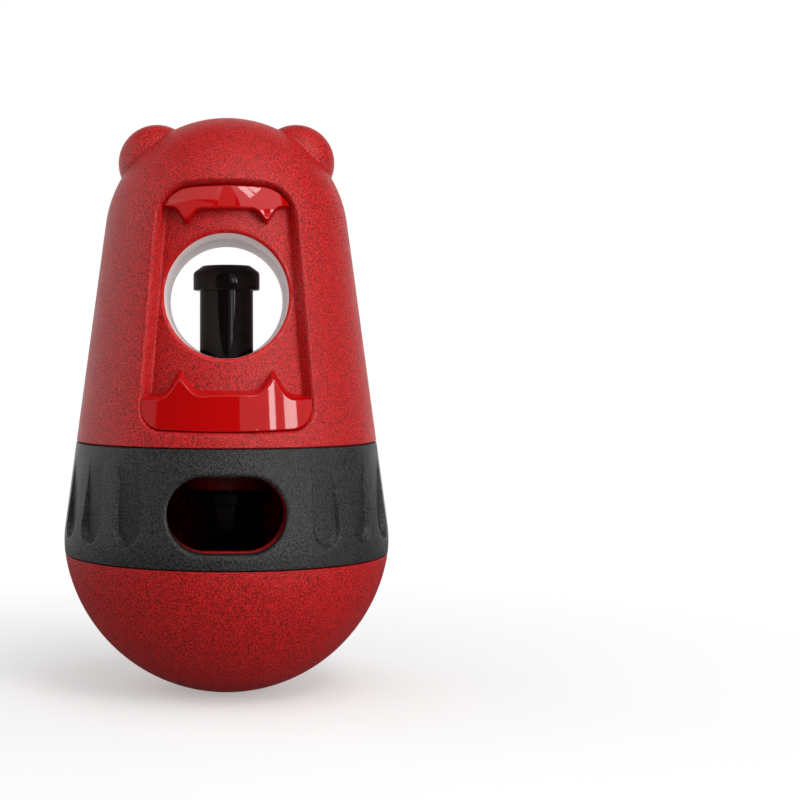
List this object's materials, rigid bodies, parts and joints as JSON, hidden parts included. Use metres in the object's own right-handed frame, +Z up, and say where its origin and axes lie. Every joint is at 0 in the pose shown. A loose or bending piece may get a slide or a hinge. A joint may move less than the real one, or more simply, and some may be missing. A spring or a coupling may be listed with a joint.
{
  "type": "slow feeder puzzle ball",
  "caption": "Egg-shaped tumbler feeder: weighted round bowl, fluted ring that opens and shuts an oval outlet, pull-off eared upper shell with a through window and a sprung knob in it.",
  "frame": {"origin": "middle of the flat foot, on the surface that it stands on", "axes": "+Z up along the axis of the body, front with the outlet at -Y, ears along X"},
  "size_m": [0.0894, 0.0894, 0.1573],
  "materials": {
    "body_red": "fine blasted grain",
    "gloss_red": "polished",
    "grip_black": "fine blasted grain",
    "core_black": "polished",
    "liner_white": "satin",
    "seal_rubber": "satin",
    "iron": "as cast",
    "steel": "bright"
  },
  "bodies": {
    "base": {"base_bowl": "body_red", "counterweight": "iron", "weight_cover": "body_red", "cover_screws": "steel", "outlet_sleeve": "body_red", "ring_seal": "seal_rubber", "shell_seal": "seal_rubber", "core_housing": "core_black", "housing_collar": "core_black", "housing_screws": "steel", "return_spring": "steel"},
    "ring": {"grip_ring": "grip_black"},
    "shell": {"upper_shell": "body_red", "stem_tube": "body_red", "window_liner": "liner_white", "front_upper_trim": "gloss_red", "front_lower_trim": "gloss_red", "rear_upper_trim": "gloss_red", "rear_lower_trim": "gloss_red"},
    "knob": {"knob_stem": "core_black", "knob_cap": "core_black"}
  },
  "joints": [
    {"name": "ring_turn", "type": "hinge", "parent": "base", "child": "ring", "pos_m": [0, 0, 0.0528], "axis": [0, 0, 1], "range_deg": [0, 55]},
    {"name": "shell_lift", "type": "slide", "parent": "base", "child": "shell", "axis": [0, 0, 1], "range_m": [0, 0.065]},
    {"name": "knob_press", "type": "slide", "parent": "base", "child": "knob", "axis": [0, 0, -1], "range_m": [0, 0.009], "stiffness_N_per_m": 250, "springref_m": -0.004, "deforming": ["return_spring"]}
  ]
}
